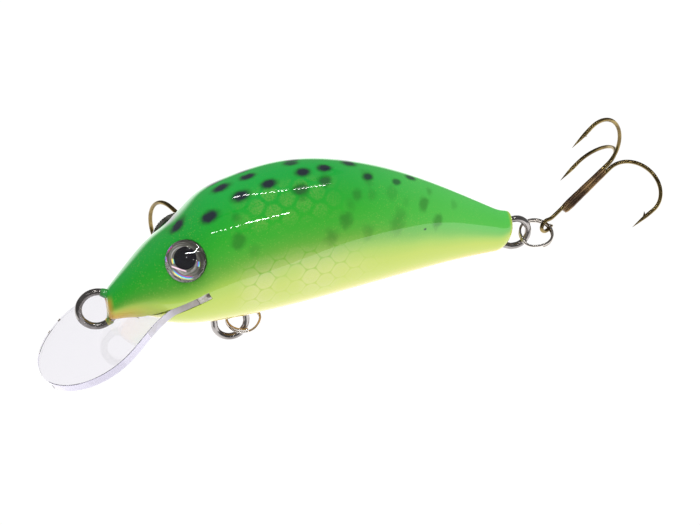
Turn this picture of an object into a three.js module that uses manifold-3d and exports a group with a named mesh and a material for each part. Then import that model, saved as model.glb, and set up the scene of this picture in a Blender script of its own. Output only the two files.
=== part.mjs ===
// Crankbait lure: a hard body of two halves round a through-wire, a clear diving bill,
// domed eyes, two split rings and two treble hooks.
// Millimetres. The origin is the centre of the line tie on the nose; +X runs to the tail,
// +Y to the lure's right side and +Z up through the back.

import * as THREE from 'three';
import { mergeVertices } from 'three/addons/utils/BufferGeometryUtils.js';
import Module from 'manifold-3d';

const wasm = await Module();
wasm.setup();

// ---------------------------------------------------------------- driving dimensions

// Body stations, nose to tail: distance along X, back height, belly height, half width.
const STATIONS = [
  [1.1, 1.9, -1.5, 1.55],
  [3.6, 4.35, -1.5, 2.9],
  [6.6, 7.0, -2.35, 4.6],
  [9.6, 8.95, -3.15, 5.7],
  [12.6, 11.5, -3.5, 6.25],
  [16.6, 13.2, -3.55, 6.4],
  [22.6, 14.2, -3.3, 6.25],
  [30.1, 13.35, -2.7, 5.4],
  [38.1, 10.4, -2.0, 4.0],
  [45.1, 6.55, -1.6, 2.45],
  [51.1, 2.9, -1.55, 1.25],
];
const SECTION_POWER = 2.13;
const WIDEST_AT = 0.48;
const END_ROUND = 0.6;
const HALF_GAP = 0.01;

const HARNESS_R = 0.42;
const CHANNEL_R = 0.48;
const NOSE_LOOP_R = 2.09;
const BELLY_LOOP_R = 1.95;
const TAIL_LOOP_R = 1.79;
const BELLY_LOOP_X = 15.26;
const BELLY_LOOP_Z = -6.6;
const TAIL_LOOP_X = 53.62;
const TAIL_LOOP_Z = 0.43;

const BILL_ANGLE = THREE.MathUtils.degToRad(23.2);
const BILL_POINT = new THREE.Vector3(9, 0, 1.07);
const BILL_THICKNESS = 0.9;
const BILL_CENTRE = 10.7;
const BILL_REACH = 7.5;
const BILL_HALF_WIDTH = 10;
const SLOT_REAR = -3.35;
const SLOT_GAP = 0.03;

const EYE_X = 10;
const EYE_Z = 6.28;
const EYE_R = 2.4;
const EYE_DOME = 1.2;
const EYE_SEAT = -0.35;
const PUPIL_R = 1.05;

const BALLAST_R = 1.5;
const BALLAST_LENGTH = 7;

const RING_R = 2.03;
const RING_WIRE_R = 0.17;
const RING_PITCH = 0.37;
const RING_GAP_ANGLE = THREE.MathUtils.degToRad(62);

const HOOK_WIRE_R = 0.25;
const HOOK_OFFSET = 0.37;
const HOOK_EYE_R = 0.82;
const SHANK_LENGTH = 11.05;
const BEND_R = 3.76;
const BEND_SQUASH = 0.87;
const POINT_LENGTH = 3.4;
const POINT_LEAN = 0.082;
const SIDE_SHANK_START = 3.1;
const BRAZE_END = 10.3;
const BELLY_TREBLE_SIZE = 1.06;

// ---------------------------------------------------------------- materials

const paint = { color: 0x2fb83c, roughness: 0.15, metalness: 0 };
const clearResin = { color: 0xe6e0ee, roughness: 0.05, metalness: 0, transparent: true, opacity: 0.45 };
const amberResin = { color: 0xe0a84a, roughness: 0.1, metalness: 0, transparent: true, opacity: 0.7 };
const steel = { color: 0xb4b0ae, roughness: 0.25, metalness: 1 };
const bronze = { color: 0x8a7440, roughness: 0.3, metalness: 1 };
const braze = { color: 0x6b5748, roughness: 0.45, metalness: 1 };
const lead = { color: 0x6c7074, roughness: 0.6, metalness: 1 };
const foil = { color: 0xa9a9b4, roughness: 0.3, metalness: 1 };
const black = { color: 0x0c0c10, roughness: 0.2, metalness: 0 };

function part(name, geometry, look) {
  const mesh = new THREE.Mesh(geometry, new THREE.MeshStandardMaterial(look));
  mesh.name = name;
  return mesh;
}

// ---------------------------------------------------------------- solids

function toSolid(geometry) {
  const bare = geometry.clone();
  bare.deleteAttribute('normal');
  bare.deleteAttribute('uv');
  const merged = mergeVertices(bare, 1e-4);
  const vertProperties = new Float32Array(merged.attributes.position.array);
  const triVerts = new Uint32Array(merged.index.array);
  return new wasm.Manifold(new wasm.Mesh({ numProp: 3, vertProperties, triVerts }));
}

function toGeometry(solid) {
  const mesh = solid.getMesh();
  const geometry = new THREE.BufferGeometry();
  geometry.setAttribute('position', new THREE.BufferAttribute(mesh.vertProperties, 3));
  geometry.setIndex(new THREE.BufferAttribute(mesh.triVerts, 1));
  return geometry;
}

// A curve that stops at exactly the given points, so a straight run costs one step.
class Route extends THREE.Curve {
  constructor(points) {
    super();
    this.points = points;
  }

  getPoint(t, target = new THREE.Vector3()) {
    const last = this.points.length - 1;
    const place = Math.min(Math.max(t, 0), 1) * last;
    const index = Math.min(Math.floor(place + 1e-9), last - 1);
    return target.lerpVectors(this.points[index], this.points[index + 1], place - index);
  }

  getPointAt(u, target) {
    return this.getPoint(u, target);
  }

  getTangentAt(u, target = new THREE.Vector3()) {
    const last = this.points.length - 1;
    const index = Math.round(u * last);
    const before = this.points[Math.max(index - 1, 0)];
    const here = this.points[index];
    const after = this.points[Math.min(index + 1, last)];
    const arriving = here.clone().sub(before).normalize();
    const leaving = after.clone().sub(here).normalize();
    return target.addVectors(arriving, leaving).normalize();
  }
}

function wire(points, radius, halfSides = 4) {
  const section = new THREE.Shape();
  section.absarc(0, 0, radius, 0, Math.PI * 2);
  return new THREE.ExtrudeGeometry(section, {
    steps: points.length - 1,
    curveSegments: halfSides,
    extrudePath: new Route(points),
  });
}

// Straight runs joined by round bends. Each corner is [x, z, bend radius]; the wire lies in y = 0.
function bentRoute(corners, stepAngle = 0.26) {
  const points = [];
  corners.forEach(([x, z, radius], index) => {
    const corner = new THREE.Vector3(x, 0, z);
    if (index === 0 || index === corners.length - 1) {
      points.push(corner);
      return;
    }
    const [beforeX, beforeZ] = corners[index - 1];
    const [afterX, afterZ] = corners[index + 1];
    const back = new THREE.Vector3(beforeX - x, 0, beforeZ - z).normalize();
    const ahead = new THREE.Vector3(afterX - x, 0, afterZ - z).normalize();
    const halfAngle = back.angleTo(ahead) / 2;
    const turn = Math.PI - 2 * halfAngle;
    const middle = back.clone().add(ahead).normalize();
    const centre = corner.clone().addScaledVector(middle, radius / Math.sin(halfAngle));
    const start = corner.clone().addScaledVector(back, radius / Math.tan(halfAngle)).sub(centre);
    const axis = new THREE.Vector3().crossVectors(back, ahead).normalize().negate();
    const steps = Math.max(2, Math.round(turn / stepAngle));
    for (let step = 0; step <= steps; step += 1) {
      points.push(start.clone().applyAxisAngle(axis, (turn * step) / steps).add(centre));
    }
  });
  return points.filter((point, index) => index === 0 || point.distanceTo(points[index - 1]) > 0.02);
}

// ---------------------------------------------------------------- body surface

// A smooth curve through one column of the stations.
function along(column, x) {
  const last = STATIONS.length - 1;
  let index = 0;
  while (index < last - 1 && x > STATIONS[index + 1][0]) index += 1;
  const slope = (i) => {
    const low = STATIONS[Math.max(i - 1, 0)];
    const high = STATIONS[Math.min(i + 1, last)];
    return (high[column] - low[column]) / (high[0] - low[0]);
  };
  const [x0, x1] = [STATIONS[index][0], STATIONS[index + 1][0]];
  const [v0, v1] = [STATIONS[index][column], STATIONS[index + 1][column]];
  const span = x1 - x0;
  const t = (x - x0) / span;
  const [m0, m1] = [slope(index) * span, slope(index + 1) * span];
  return (
    v0 * (2 * t ** 3 - 3 * t ** 2 + 1) +
    m0 * (t ** 3 - 2 * t ** 2 + t) +
    v1 * (3 * t ** 2 - 2 * t ** 3) +
    m1 * (t ** 3 - t ** 2)
  );
}

function bodySection(x) {
  const back = along(1, x);
  const belly = along(2, x);
  const middle = belly + WIDEST_AT * (back - belly);
  return { rise: back - middle, drop: middle - belly, middle, halfWidth: along(3, x) };
}

const bodyStart = STATIONS[0][0];
const bodyEnd = STATIONS[STATIONS.length - 1][0];

// How far a body section is drawn in near the two end faces.
function endScale(x) {
  const depth = Math.min(x - bodyStart, bodyEnd - x, END_ROUND) / END_ROUND;
  return 1 - 0.16 * (1 - Math.sqrt(1 - (1 - depth) ** 2));
}

function bodyPoint(x, angle, fill = 1) {
  const { rise, drop, middle, halfWidth } = bodySection(x);
  const power = 2 / SECTION_POWER;
  const across = Math.sign(Math.cos(angle)) * Math.abs(Math.cos(angle)) ** power;
  const up = Math.sign(Math.sin(angle)) * Math.abs(Math.sin(angle)) ** power;
  const scale = fill * endScale(x);
  const y = halfWidth * across * scale;
  const z = middle + (up > 0 ? rise : drop) * up * scale;
  return new THREE.Vector3(x, y, z);
}

function bodyLoft() {
  const rings = 34;
  const geometry = new THREE.CylinderGeometry(1, 1, 1, 32, rings);
  const position = geometry.attributes.position;
  for (let i = 0; i < position.count; i += 1) {
    const t = position.getY(i) + 0.5;
    const eased = 0.5 * t + 0.5 * (0.5 - 0.5 * Math.cos(Math.PI * t));
    const angle = Math.atan2(position.getX(i), position.getZ(i));
    const fill = Math.hypot(position.getX(i), position.getZ(i));
    const point = bodyPoint(bodyStart + (bodyEnd - bodyStart) * eased, angle, fill);
    position.setXYZ(i, point.x, point.y, point.z);
  }
  return geometry;
}

// The point of the flank at a given x and z, and the way the surface faces there.
function flankPoint(x, z, side) {
  const { rise, drop, middle, halfWidth } = bodySection(x);
  const height = z > middle ? rise : drop;
  const level = Math.abs((z - middle) / height) ** SECTION_POWER;
  return new THREE.Vector3(x, side * halfWidth * (1 - level) ** (1 / SECTION_POWER), z);
}

function flankNormal(x, z, side) {
  const step = 0.8;
  const alongX = flankPoint(x + step, z, side).sub(flankPoint(x - step, z, side));
  const alongZ = flankPoint(x, z + step, side).sub(flankPoint(x, z - step, side));
  return alongZ.cross(alongX).multiplyScalar(side).normalize();
}

// ---------------------------------------------------------------- wire harness

function harnessCorners() {
  const halfTurn = THREE.MathUtils.degToRad(45);
  const cornerDistance = NOSE_LOOP_R / Math.cos(halfTurn);
  const noseCorner = (degrees) => {
    const angle = THREE.MathUtils.degToRad(degrees);
    return [cornerDistance * Math.cos(angle), cornerDistance * Math.sin(angle), NOSE_LOOP_R];
  };
  const bellyFront = BELLY_LOOP_X - BELLY_LOOP_R;
  const bellyRear = BELLY_LOOP_X + BELLY_LOOP_R;
  return [
    [8.6, 4.3, 0],
    [2.1, 0.98, 0.5],
    noseCorner(95),
    noseCorner(180),
    noseCorner(-95),
    [2.1, -0.98, 0.5],
    [bellyFront, 4.0, 0.9],
    [bellyFront, BELLY_LOOP_Z, BELLY_LOOP_R],
    [bellyRear, BELLY_LOOP_Z, BELLY_LOOP_R],
    [bellyRear, 1.6, 1],
    [49.4, -0.6, 1],
    [51.3, TAIL_LOOP_Z - TAIL_LOOP_R, 1],
    [TAIL_LOOP_X, TAIL_LOOP_Z - TAIL_LOOP_R, TAIL_LOOP_R],
    [TAIL_LOOP_X, TAIL_LOOP_Z + TAIL_LOOP_R, TAIL_LOOP_R],
    [50.6, TAIL_LOOP_Z + TAIL_LOOP_R, 0.8],
    [43.5, 2.0, 0],
  ];
}

const harnessRoute = bentRoute(harnessCorners());

// The moulded channel runs on a little past both ends of the wire.
function channelRoute() {
  const points = harnessRoute.map((point) => point.clone());
  const last = points.length - 1;
  points[0].lerpVectors(points[1], points[0], 1.03);
  points[last].lerpVectors(points[last - 1], points[last], 1.03);
  return points;
}

// ---------------------------------------------------------------- diving bill

// The bill's own frame: x forward and down along the bill, z out of its upper face.
const billFrame = new THREE.Matrix4().compose(
  BILL_POINT,
  new THREE.Quaternion().setFromRotationMatrix(
    new THREE.Matrix4().makeBasis(
      new THREE.Vector3(-Math.cos(BILL_ANGLE), 0, -Math.sin(BILL_ANGLE)),
      new THREE.Vector3(0, -1, 0),
      new THREE.Vector3(-Math.sin(BILL_ANGLE), 0, Math.cos(BILL_ANGLE)),
    ),
  ),
  new THREE.Vector3(1, 1, 1),
);

function billOutline() {
  const shape = new THREE.Shape();
  shape.moveTo(-1.8, -5.72);
  shape.lineTo(1.2, -4.85);
  shape.bezierCurveTo(5, -5.4, 6.6, -BILL_HALF_WIDTH, BILL_CENTRE, -BILL_HALF_WIDTH);
  shape.absellipse(BILL_CENTRE, 0, BILL_REACH, BILL_HALF_WIDTH, -Math.PI / 2, Math.PI / 2);
  shape.bezierCurveTo(6.6, BILL_HALF_WIDTH, 5, 5.4, 1.2, 4.85);
  shape.lineTo(-1.8, 5.72);
  shape.quadraticCurveTo(-4.1, 0, -1.8, -5.72);
  return shape;
}

function billPlate(shape, curveSegments) {
  const plate = new THREE.ExtrudeGeometry(shape, {
    depth: BILL_THICKNESS,
    bevelEnabled: false,
    curveSegments,
  });
  plate.translate(0, 0, -BILL_THICKNESS);
  return plate.applyMatrix4(billFrame);
}

function slotCutter() {
  const length = 30;
  const cutter = new THREE.BoxGeometry(length, 20, BILL_THICKNESS + 2 * SLOT_GAP);
  cutter.translate(SLOT_REAR + length / 2, 0, -BILL_THICKNESS / 2);
  return toSolid(cutter.applyMatrix4(billFrame));
}

// Clear epoxy between the bill's rear edge and the end of the slot, flush with the head.
function slotEpoxy(bodySolid) {
  const shape = new THREE.Shape();
  const rear = SLOT_REAR + SLOT_GAP;
  shape.moveTo(rear, -8);
  shape.lineTo(-1.86, -8);
  shape.lineTo(-1.86, -5.78);
  shape.quadraticCurveTo(-4.16, 0, -1.86, 5.78);
  shape.lineTo(-1.86, 8);
  shape.lineTo(rear, 8);
  shape.closePath();
  return toGeometry(toSolid(billPlate(shape, 10)).intersect(bodySolid));
}

// ---------------------------------------------------------------- eyes

function eyeLens() {
  const bottom = EYE_SEAT + 0.17;
  const recess = bottom + 0.11;
  const rim = 0.15;
  const height = EYE_DOME - rim;
  const domeRadius = (EYE_R ** 2 + height ** 2) / (2 * height);
  const sweep = Math.asin(EYE_R / domeRadius);
  const profile = [
    new THREE.Vector2(0, recess),
    new THREE.Vector2(PUPIL_R + 0.08, recess),
    new THREE.Vector2(PUPIL_R + 0.08, bottom),
    new THREE.Vector2(EYE_R, bottom),
  ];
  const steps = 5;
  for (let step = 0; step < steps; step += 1) {
    const angle = sweep * (1 - step / steps);
    const height = EYE_DOME - domeRadius + domeRadius * Math.cos(angle);
    profile.push(new THREE.Vector2(domeRadius * Math.sin(angle), height));
  }
  profile.push(new THREE.Vector2(0, EYE_DOME));
  return new THREE.LatheGeometry(profile, 28);
}

function disc(radius, low, high, sides) {
  const geometry = new THREE.CylinderGeometry(radius, radius, high - low, sides);
  return geometry.translate(0, (low + high) / 2, 0);
}

function eye(name, side) {
  const group = new THREE.Group();
  group.position.copy(flankPoint(EYE_X, EYE_Z, side));
  group.quaternion.setFromUnitVectors(new THREE.Vector3(0, 1, 0), flankNormal(EYE_X, EYE_Z, side));
  const foilTop = EYE_SEAT + 0.15;
  group.add(part(`${name}_eye_foil`, disc(EYE_R - 0.1, EYE_SEAT + 0.02, foilTop, 28), foil));
  group.add(part(`${name}_eye_pupil`, disc(PUPIL_R, foilTop + 0.02, foilTop + 0.1, 20), black));
  group.add(part(`${name}_eye_lens`, eyeLens(), clearResin));
  group.updateMatrix();
  return group;
}

// ---------------------------------------------------------------- split rings

// Two flat turns of round wire. The wire climbs from the first to the second turn just
// before its own start, and the second turn stops just before that climb.
function splitRing() {
  const stepsPerTurn = 22;
  const climb = THREE.MathUtils.degToRad(55);
  const end = 4 * Math.PI - RING_GAP_ANGLE;
  const steps = Math.round((end / (2 * Math.PI)) * stepsPerTurn);
  const points = [];
  for (let step = 0; step <= steps; step += 1) {
    const angle = (end * step) / steps;
    const rise = THREE.MathUtils.smoothstep(angle, 2 * Math.PI - climb, 2 * Math.PI);
    const x = RING_R * Math.cos(angle);
    const y = RING_R * Math.sin(angle);
    points.push(new THREE.Vector3(x, y, RING_PITCH * (rise - 0.5)));
  }
  return wire(points, RING_WIRE_R);
}

// A turned frame from its x direction and a direction near its z.
function turned(xAxis, nearZ) {
  const x = new THREE.Vector3(...xAxis).normalize();
  const y = new THREE.Vector3(...nearZ).cross(x).normalize();
  const z = new THREE.Vector3().crossVectors(x, y);
  return new THREE.Quaternion().setFromRotationMatrix(new THREE.Matrix4().makeBasis(x, y, z));
}

// ---------------------------------------------------------------- treble hooks

// Every hook lies in its own x-z plane: the shank runs along +x and the point comes back.
function hookRoute(start) {
  const sweep = Math.PI + POINT_LEAN;
  const points = start.map(([x, z]) => new THREE.Vector3(x, 0, z));
  const steps = 12;
  for (let step = 0; step <= steps; step += 1) {
    const angle = (sweep * step) / steps;
    const x = SHANK_LENGTH + BEND_R * BEND_SQUASH * Math.sin(angle);
    const z = HOOK_OFFSET + BEND_R * (1 - Math.cos(angle));
    points.push(new THREE.Vector3(x, 0, z));
  }
  const direction = new THREE.Vector3(-Math.cos(POINT_LEAN), 0, -Math.sin(POINT_LEAN));
  points.push(points[points.length - 1].clone().addScaledVector(direction, 0.9));
  return { points, direction };
}

function hook(start) {
  const { points, direction } = hookRoute(start);
  const shaft = toSolid(wire(points, HOOK_WIRE_R));
  const pointStart = points[points.length - 1].clone().addScaledVector(direction, -0.1);
  const up = new THREE.Vector3(0, 1, 0);
  const length = POINT_LENGTH - 0.8;
  const needle = new THREE.ConeGeometry(HOOK_WIRE_R, length, 8);
  needle.translate(0, length / 2, 0);
  needle.applyQuaternion(new THREE.Quaternion().setFromUnitVectors(up, direction));
  needle.translate(pointStart.x, pointStart.y, pointStart.z);
  const barbDirection = new THREE.Vector3(0.82, 0, -0.57).normalize();
  const barbStart = pointStart.clone().addScaledVector(direction, 0.75);
  const barb = new THREE.ConeGeometry(0.13, 0.6, 6);
  barb.translate(0, 0.3, 0);
  barb.applyQuaternion(new THREE.Quaternion().setFromUnitVectors(up, barbDirection));
  barb.translate(barbStart.x, barbStart.y, barbStart.z);
  return toGeometry(shaft.add(toSolid(needle)).add(toSolid(barb)));
}

// The eye is turned in the hook's own plane, then its wire sets off down the shank.
function eyedHookStart() {
  const start = [];
  const from = THREE.MathUtils.degToRad(-42);
  const to = THREE.MathUtils.degToRad(-310);
  const steps = 11;
  for (let step = 0; step <= steps; step += 1) {
    const angle = from + ((to - from) * step) / steps;
    start.push([HOOK_EYE_R * Math.cos(angle), HOOK_EYE_R * Math.sin(angle)]);
  }
  start.push([0.95, 0.42], [1.5, HOOK_OFFSET]);
  return start;
}

function brazedJoint() {
  const skin = HOOK_WIRE_R + 0.065;
  const outline = new THREE.Shape();
  const third = (2 * Math.PI) / 3;
  for (let k = 0; k < 3; k += 1) {
    const angle = k * third;
    const [cx, cy] = [HOOK_OFFSET * Math.cos(angle), HOOK_OFFSET * Math.sin(angle)];
    outline.absarc(cx, cy, skin, angle - third / 2, angle + third / 2);
    const hole = new THREE.Path();
    hole.absarc(cx, cy, HOOK_WIRE_R + 0.03, 0, 2 * Math.PI);
    outline.holes.push(hole);
  }
  const length = BRAZE_END - SIDE_SHANK_START - 0.3;
  return new THREE.ExtrudeGeometry(outline, { depth: length, bevelEnabled: false, curveSegments: 5 });
}

function treble(name, place, shankDirection, eyedHookDirection) {
  const group = new THREE.Group();
  group.position.set(...place);
  group.quaternion.copy(turned(shankDirection, eyedHookDirection));
  group.add(part(`${name}_eyed_hook`, hook(eyedHookStart()), bronze));
  for (let k = 1; k <= 2; k += 1) {
    const side = part(`${name}_side_hook_${k}`, hook([[SIDE_SHANK_START, HOOK_OFFSET]]), bronze);
    side.rotation.x = (2 * Math.PI * k) / 3;
    group.add(side);
  }
  const joint = part(`${name}_braze`, brazedJoint(), braze);
  joint.quaternion.setFromRotationMatrix(
    new THREE.Matrix4().makeBasis(
      new THREE.Vector3(0, 0, 1),
      new THREE.Vector3(0, 1, 0),
      new THREE.Vector3(-1, 0, 0),
    ),
  );
  joint.position.x = BRAZE_END;
  group.add(joint);
  return group;
}

// ---------------------------------------------------------------- assembly

const lure = new THREE.Group();

const leftEye = eye('left', -1);
const rightEye = eye('right', 1);
const bodySolid = toSolid(bodyLoft());

const ballastPlace = new THREE.Matrix4()
  .makeTranslation(23.5, 0, -1.1)
  .multiply(new THREE.Matrix4().makeRotationZ(Math.PI / 2));
const ballast = new THREE.CapsuleGeometry(BALLAST_R, BALLAST_LENGTH, 4, 16).applyMatrix4(ballastPlace);
const ballastHole = new THREE.CapsuleGeometry(BALLAST_R + 0.05, BALLAST_LENGTH, 4, 16);
ballastHole.applyMatrix4(ballastPlace);

const harness = wire(harnessRoute, HARNESS_R, 5);
const channel = toSolid(wire(channelRoute(), CHANNEL_R, 5));

const hollows = [
  channel,
  slotCutter(),
  toSolid(ballastHole),
  toSolid(disc(EYE_R + 0.04, EYE_SEAT, 3, 28).applyMatrix4(leftEye.matrix)),
  toSolid(disc(EYE_R + 0.04, EYE_SEAT, 3, 28).applyMatrix4(rightEye.matrix)),
];
const hollowBody = hollows.reduce((solid, hollow) => solid.subtract(hollow), bodySolid);

for (const [name, side] of [['left', -1], ['right', 1]]) {
  const otherSide = new THREE.BoxGeometry(60, 20, 40);
  otherSide.translate(26, -side * 10 + side * HALF_GAP, 5);
  const half = hollowBody.subtract(toSolid(otherSide));
  lure.add(part(`body_${name}_half`, toGeometry(half), paint));
}

lure.add(part('wire_harness', harness, steel));
lure.add(part('belly_ballast', ballast, lead));
lure.add(part('diving_bill', billPlate(billOutline(), 10), clearResin));
lure.add(part('bill_slot_epoxy', slotEpoxy(bodySolid), clearResin));

// A pad of clear resin on the nose, between the two legs of the line tie.
const resinPad = new THREE.SphereGeometry(1, 16, 10).scale(0.55, 1.15, 1.25).translate(1.1, 0, 0.15);
const behindNose = new THREE.BoxGeometry(4, 6, 6).translate(bodyStart - 0.02 + 2, 0, 0);
const nosePlug = toSolid(resinPad).subtract(toSolid(behindNose)).subtract(channel);
lure.add(part('nose_resin_plug', toGeometry(nosePlug), amberResin));

lure.add(leftEye, rightEye);

const bellyRing = part('belly_split_ring', splitRing(), steel);
bellyRing.position.set(17.04, 1.03, -5.08);
bellyRing.quaternion.copy(turned([0.9, -0.4, -0.15], [-0.02, -0.363, 0.931]));
lure.add(bellyRing);

const tailRing = part('tail_split_ring', splitRing(), steel);
tailRing.position.set(54.35, -0.8, 0.14);
tailRing.quaternion.copy(turned([0.1, -0.87, -0.5], [-0.028, -0.498, 0.867]));
lure.add(tailRing);

lure.add(treble('tail_treble', [56.1, -0.06, 0.61], [0.837, 0.18, 0.516], [-0.443, -0.331, 0.833]));

const bellyTreble = treble('belly_treble', [15.74, 2.8, -4.41], [-0.464, 0.824, 0.325], [0.084, -0.324, 0.942]);
bellyTreble.scale.setScalar(BELLY_TREBLE_SIZE);
lure.add(bellyTreble);

export default lure;
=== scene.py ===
"""Looks for the crankbait lure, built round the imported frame. Metres, in the CAD frame."""

import math

import bmesh
import bpy
import numpy as np
from mathutils import Matrix, Vector


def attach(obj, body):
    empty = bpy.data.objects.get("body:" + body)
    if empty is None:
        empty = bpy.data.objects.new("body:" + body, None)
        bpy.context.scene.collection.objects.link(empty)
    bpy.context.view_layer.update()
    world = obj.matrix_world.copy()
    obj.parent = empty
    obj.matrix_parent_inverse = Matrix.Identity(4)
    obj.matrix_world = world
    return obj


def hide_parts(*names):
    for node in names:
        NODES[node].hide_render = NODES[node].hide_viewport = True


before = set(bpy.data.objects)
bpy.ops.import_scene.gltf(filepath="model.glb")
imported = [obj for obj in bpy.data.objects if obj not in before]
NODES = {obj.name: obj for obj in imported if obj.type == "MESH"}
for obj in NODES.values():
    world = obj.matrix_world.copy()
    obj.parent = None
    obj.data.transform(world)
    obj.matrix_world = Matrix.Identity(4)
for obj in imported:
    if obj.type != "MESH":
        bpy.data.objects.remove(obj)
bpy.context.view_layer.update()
MM = 0.001
scene = bpy.context.scene


# ------------------------------------------------------------------ camera

AZIMUTH, ELEVATION, ROLL = (math.radians(v) for v in (-15.42, 24.19, -3.53))
DISTANCE = 0.1755
TARGET = Vector((0.03049, 0.0, 0.00024))

back = Vector((math.sin(AZIMUTH) * math.cos(ELEVATION),
               -math.cos(AZIMUTH) * math.cos(ELEVATION), math.sin(ELEVATION)))
level = Vector((math.cos(AZIMUTH), math.sin(AZIMUTH), 0))
upright = back.cross(level)
right = level * math.cos(ROLL) + upright * math.sin(ROLL)
up = upright * math.cos(ROLL) - level * math.sin(ROLL)
camera = bpy.data.objects.new("camera", bpy.data.cameras.new("camera"))
camera.data.lens = 75.0
camera.data.sensor_width = 36.0
camera.data.clip_start = 0.01
camera.matrix_world = (Matrix.Translation(TARGET + back * DISTANCE)
                       @ Matrix((right, up, back)).transposed().to_4x4())
scene.collection.objects.link(camera)
scene.camera = camera


# ------------------------------------------------------------------ shader helpers

class Shader:
    """Short forms for building a node tree."""

    def __init__(self, name, world=False):
        self.owner = bpy.data.worlds.new(name) if world else bpy.data.materials.new(name)
        self.owner.use_nodes = True
        self.tree = self.owner.node_tree
        self.bsdf = self.tree.nodes.get("Principled BSDF")

    def add(self, kind, *inputs, **settings):
        node = self.tree.nodes.new(kind)
        for key, value in settings.items():
            setattr(node, key, value)
        for socket, value in zip(node.inputs, inputs):
            self.put(socket, value)
        return node

    def put(self, socket, value):
        if isinstance(value, bpy.types.NodeSocket):
            self.tree.links.new(value, socket)
        elif value is not None:
            socket.default_value = value

    def math(self, operation, a, b=None, c=None):
        return self.add("ShaderNodeMath", a, b, c, operation=operation).outputs[0]

    def times(self, a, b):
        return self.math("MULTIPLY", a, b)

    def millimetres(self):
        """Position in the object's frame, in mm."""
        return self.vector("MULTIPLY", self.place(), (1000, 1000, 1000))

    def vector(self, operation, a, b=None):
        node = self.add("ShaderNodeVectorMath", a, b, operation=operation)
        return node.outputs["Value" if operation in ("DOT_PRODUCT", "LENGTH", "DISTANCE") else 0]

    def step(self, value, low, high, to_low=0.0, to_high=1.0):
        """Smooth step of value from low to high."""
        node = self.add("ShaderNodeMapRange", interpolation_type="SMOOTHSTEP")
        for key, item in (("Value", value), ("From Min", low), ("From Max", high),
                          ("To Min", to_low), ("To Max", to_high)):
            self.put(node.inputs[key], item)
        return node.outputs[0]

    def mix(self, factor, a, b, blend="MIX"):
        node = self.add("ShaderNodeMix", data_type="RGBA", blend_type=blend)
        self.put(node.inputs[0], factor)
        self.put(node.inputs[6], a)
        self.put(node.inputs[7], b)
        return node.outputs[2]

    def ramp(self, factor, stops, interpolation="LINEAR"):
        node = self.add("ShaderNodeValToRGB", factor)
        node.color_ramp.interpolation = interpolation
        elements = node.color_ramp.elements
        while len(elements) < len(stops):
            elements.new(0.5)
        for element, (place, colour) in zip(elements, stops):
            element.position = place
            element.color = colour
        return node.outputs[0]

    def noise(self, scale, detail=2.0, vector=None):
        node = self.add("ShaderNodeTexNoise")
        self.put(node.inputs["Vector"], vector if vector is not None else self.place())
        self.put(node.inputs["Scale"], scale)
        self.put(node.inputs["Detail"], detail)
        return node.outputs[0]

    def cells(self, scale, output="Color"):
        node = self.add("ShaderNodeTexVoronoi")
        self.put(node.inputs["Vector"], self.place())
        self.put(node.inputs["Scale"], scale)
        return node.outputs[output]

    def place(self):
        """Position in the object's frame, in metres."""
        return self.add("ShaderNodeTexCoord").outputs["Object"]

    def split(self, vector):
        return self.add("ShaderNodeSeparateXYZ", vector).outputs

    def join(self, x, y, z=0.0):
        return self.add("ShaderNodeCombineXYZ", x, y, z).outputs[0]

    def attribute(self, name):
        return self.add("ShaderNodeAttribute", attribute_name=name).outputs["Fac"]

    def bump(self, height, strength, distance):
        node = self.add("ShaderNodeBump")
        self.put(node.inputs["Strength"], strength)
        self.put(node.inputs["Distance"], distance)
        self.put(node.inputs["Height"], height)
        self.put(self.bsdf.inputs["Normal"], node.outputs[0])

    def set(self, **values):
        for key, value in values.items():
            self.put(self.bsdf.inputs[key.replace("_", " ")], value)
        return self.owner


def srgb(red, green, blue):
    """A colour given as 0-255 display values."""
    def linear(value):
        value /= 255
        return value / 12.92 if value <= 0.04045 else ((value + 0.055) / 1.055) ** 2.4
    return (linear(red), linear(green), linear(blue), 1.0)


# ------------------------------------------------------------------ mesh helpers

def make(name, vertices, faces, material, body, smooth=True):
    mesh = bpy.data.meshes.new(name)
    mesh.from_pydata([tuple(v) for v in vertices], [], faces)
    mesh.validate()
    work = bmesh.new()
    work.from_mesh(mesh)
    bmesh.ops.recalc_face_normals(work, faces=work.faces)
    work.to_mesh(mesh)
    work.free()
    if smooth:
        mesh.shade_smooth()
    mesh.materials.append(material)
    piece = bpy.data.objects.new(name, mesh)
    scene.collection.objects.link(piece)
    if body:
        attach(piece, body)
    return piece


def tube_faces(rings, sides):
    """Faces that join rings of vertices into a tube, with flat ends."""
    faces = []
    for ring in range(rings - 1):
        for side in range(sides):
            a, b = ring * sides + side, ring * sides + (side + 1) % sides
            faces.append((a, b, b + sides, a + sides))
    faces.append(tuple(range(sides - 1, -1, -1)))
    faces.append(tuple(range((rings - 1) * sides, rings * sides)))
    return faces


def tube_data(points, radii, sides=16):
    """Vertices and faces of a round tube along points, closed with flat ends."""
    points = np.asarray(points, float)
    count = len(points)
    radii = np.broadcast_to(np.asarray(radii, float), (count,))
    tangents = np.gradient(points, axis=0)
    tangents /= np.linalg.norm(tangents, axis=1)[:, None]
    helper = np.eye(3)[np.argmin(np.abs(tangents[0]))]
    normal = np.cross(tangents[0], helper)
    normal /= np.linalg.norm(normal)
    vertices = []
    for index in range(count):
        tangent = tangents[index]
        normal = normal - tangent * (normal @ tangent)
        normal /= np.linalg.norm(normal)
        other = np.cross(tangent, normal)
        for side in range(sides):
            angle = 2 * math.pi * side / sides
            vertices.append(points[index] + radii[index] * (math.cos(angle) * normal
                                                            + math.sin(angle) * other))
    return vertices, tube_faces(count, sides)


def joined(*parts):
    """Several (vertices, faces) as one."""
    vertices, faces = [], []
    for some_vertices, some_faces in parts:
        offset = len(vertices)
        vertices += list(some_vertices)
        faces += [tuple(i + offset for i in face) for face in some_faces]
    return vertices, faces


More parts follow.
